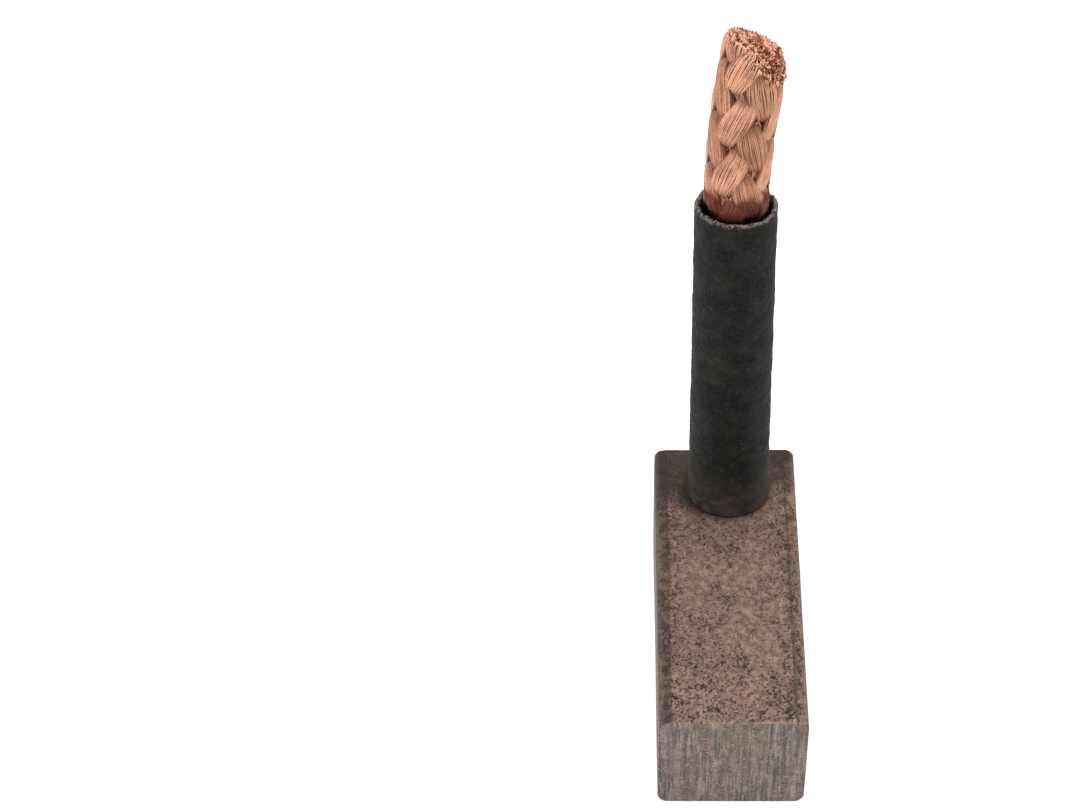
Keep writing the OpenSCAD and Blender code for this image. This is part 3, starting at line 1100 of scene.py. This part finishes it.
def block_piece():
    """The closed grid, moved along rough normals by the relief, with its marks for the material.

    radius, crease and border follow the rounded edges, and radius is full on the left and faint on
    the right, which paints shade on the left edge; foot is painted shade round the sleeve, far
    darkens the far end, front grows toward the contact face, ground is that face, and a painted
    highlight runs along its upper edge.
    """
    grid = block_surface()
    x, y, z = grid[..., 0], grid[..., 1], grid[..., 2]
    to_lead = np.hypot(x, y - LEAD_Y)
    to_foot = np.hypot(x / 1.17, y - LEAD_Y) - SLEEVE_R
    skin = (to_lead > HOLE_R + 0.3) | (z < 0.5)
    d_row = np.gradient(grid, axis=0)
    d_column = np.roll(grid, -1, 1) - np.roll(grid, 1, 1)
    normal = np.cross(d_row, d_column)
    normal /= np.linalg.norm(normal, axis=2, keepdims=True) + 1e-12
    moved = grid + normal * (relief(grid) * skin)[..., None]
    moved[0], moved[-1] = grid[0], grid[-1]
    low = BLOCK_T - z
    in_from_flank = BLOCK_W / 2 - EDGE_R - np.abs(x)
    on_radius = np.clip(-in_from_flank / 0.08, 0, 1) * np.where(low < EDGE_R + 0.2, 1, 0.6)
    crease = np.exp(-(((in_from_flank - 0.02) / 0.07) ** 2)) * (low < 0.1)
    crease += np.exp(-(((low - 0.5) / 0.14) ** 2)) * (np.abs(x) > BLOCK_W / 2 - 0.3)
    border = np.exp(-((in_from_flank / 0.7) ** 2)) * (low < EDGE_R)
    cloud = 1.2 * noise(grid, 1.3, 71) + 0.5 * noise(grid, 0.4, 72)
    far = np.clip((y - 5.8 - 0.3 * x + cloud) / 3.2, 0, 1) * np.clip(z / BLOCK_T, 0, 1) ** 2
    marks = {
        # The left rounded edge takes its worn colours in full and the right one faintly: painted
        # shade on the left.
        "radius": on_radius * (y > -BLOCK_L / 2 + 0.05) * np.where(x < 0, 1.0, 0.2),
        "crease": crease,
        "border": border,
        # Painted shade round the sleeve's foot, where it stands on the block.
        "foot": np.exp(-np.maximum(0, to_foot - 0.12) / 0.24) * (z > 1) * 0.65,
        "front": np.clip((-y - 3) / 6, 0, 1),
        # Darker toward the far end, fading out toward the bottom.
        "far": 0.92 * far,
        "ground": np.clip((-y - BLOCK_L / 2 + 0.03) / 0.02, 0, 1),
        # A painted highlight along the upper edge of the contact face.
        "painted_highlight": np.exp(-(((y + BLOCK_L / 2) / 0.07) ** 2 + (low / 0.05) ** 2)),
    }
    quads = grid_quads(len(grid), COLUMNS)[:, ::-1]
    return weld(moved.reshape(-1, 3), quads, {k: v.ravel() for k, v in marks.items()})


# %% The pressed powder
def pressed_powder():
    """Pressed copper and graphite: mottled brown skin, greyer ground face, painted shade round the
    lead.
    """
    material, tree, shader = principled(
        "pressed copper graphite", Roughness=0.6, Metallic=0.25, Specular_IOR_Level=0.3
    )
    mottle = place(tree, STAINS, Size=0.42, Seed=2.0, Low=0.36, High=0.66)
    wide = place(tree, STAINS, Size=2.6, Seed=6.0, Low=0.38, High=0.64)
    patch = place(tree, STAINS, Size=0.8, Seed=11.0, Low=0.48, High=0.53)
    curls = place(tree, CURLS, Size=0.55, Seed=5.0, Width=0.05)
    flecks = place(tree, SPECKS, Size=0.17, Seed=8.0, Amount=0.47)
    light = place(tree, SPECKS, Size=0.12, Seed=15.0, Amount=0.36)
    grooves = place(tree, GROOVES, Size=0.13, Length=16.0, Seed=3.0)
    bands = place(tree, GROOVES, Size=0.8, Length=5.0, Seed=30.0)
    border = mark_of(tree, "border")

    # More graphite shows near the borders and toward the face.
    busy = times(tree, add_mix(tree, wide, border, 1.0), 0.45)
    busy = math_node(tree, "ADD", 0.42, add_mix(tree, busy, mark_of(tree, "front"), 0.35))
    streaks = times(tree, times(tree, patch, border), from_to(tree, flecks, 0.35, 0.85))
    # Painted shade round the sleeve's foot, broken up by the mottle.
    foot_shade = times(tree, mark_of(tree, "foot"), from_to(tree, mottle, 0.55, 1.0))
    # A painted highlight along the contact face's upper edge.
    edge_highlight = times(tree, mark_of(tree, "painted_highlight"), from_to(tree, mottle, 0.1, 0.7))
    edge_wear_and_shade = paint(
        tree, EDGE_BROWN, (EDGE_GREEN, patch), (EDGE_PALE, light, 0.7), (GRAPHITE, flecks, 0.6)
    )
    ground_face = paint(
        tree,
        FACE_GREY,
        (FACE_LILAC, grooves),
        (FACE_BROWN, bands, 0.7),
        (EDGE_GREEN, patch, 0.25),
        (FACE_BRIGHT, light, 0.6),
        (GRAPHITE, flecks, 0.4),
    )
    colour = paint(
        tree,
        POWDER_BROWN,
        (POWDER_PALE, mottle),
        (POWDER_DARK, wide, 0.35),
        (GRAPHITE, times(tree, curls, busy)),
        (GRAPHITE, times(tree, flecks, busy)),
        (POWDER_LIGHT, light, 0.5),
        # The worn colours of the rounded edges, which the left edge takes in full as painted shade.
        (edge_wear_and_shade, mark_of(tree, "radius"), 0.85),
        (GRAPHITE, streaks),
        (GRAPHITE, mark_of(tree, "crease"), 0.85),
        # Painted shade round the sleeve's foot, and darker toward the far end.
        (FOOT_SHADE_AND_FAR_DARK, add_mix(tree, foot_shade, mark_of(tree, "far"), 0.9)),
        (ground_face, mark_of(tree, "ground")),
        # The painted highlight along the contact face's upper edge.
        (FACE_BRIGHT, edge_highlight),
    )
    tree.links.new(colour, shader.inputs["Base Color"])
    height = add_mix(tree, add_mix(tree, mottle, flecks, -0.6), grooves, 0.3)
    bump(tree, shader, height, distance=0.03, strength=0.45)
    return material


powder = pressed_powder()
block_points, block_faces, block_marks = block_piece()
block = make_piece("pressed_block", block_points, block_faces, powder, block_marks)
block.data.set_sharp_from_angle(angle=math.radians(50))
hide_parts("carbon_block")
print("block:", len(block.data.polygons), "faces")

# %% [markdown]
# ## The plug that holds the lead
#
# Darker powder is tamped round the lead in its hole. Its cup keeps the plain shape it has in the
# model, and only gets a material: nearly black, with a few copper grains.


# %% The tamped powder
def tamped_powder():
    """Graphite rammed tight: nearly black, in wide patches, with bright copper grains."""
    material, tree, shader = principled("tamped powder", Roughness=0.8, Metallic=0.1)
    grains = place(tree, SPECKS, Size=0.12, Seed=20.0, Amount=0.45)
    wide = place(tree, STAINS, Size=0.7, Seed=22.0, Low=0.3, High=0.7)
    colour = paint(tree, TAMPED_BLACK, (TAMPED_BROWN, wide), (POWDER_PALE, grains, 0.5))
    tree.links.new(colour, shader.inputs["Base Color"])
    bump(tree, shader, grains, distance=0.05)
    return material


plug = bpy.data.objects["tamped_plug"]
plug.data.materials.clear()
plug.data.materials.append(tamped_powder())
print("plug:", plug.name)
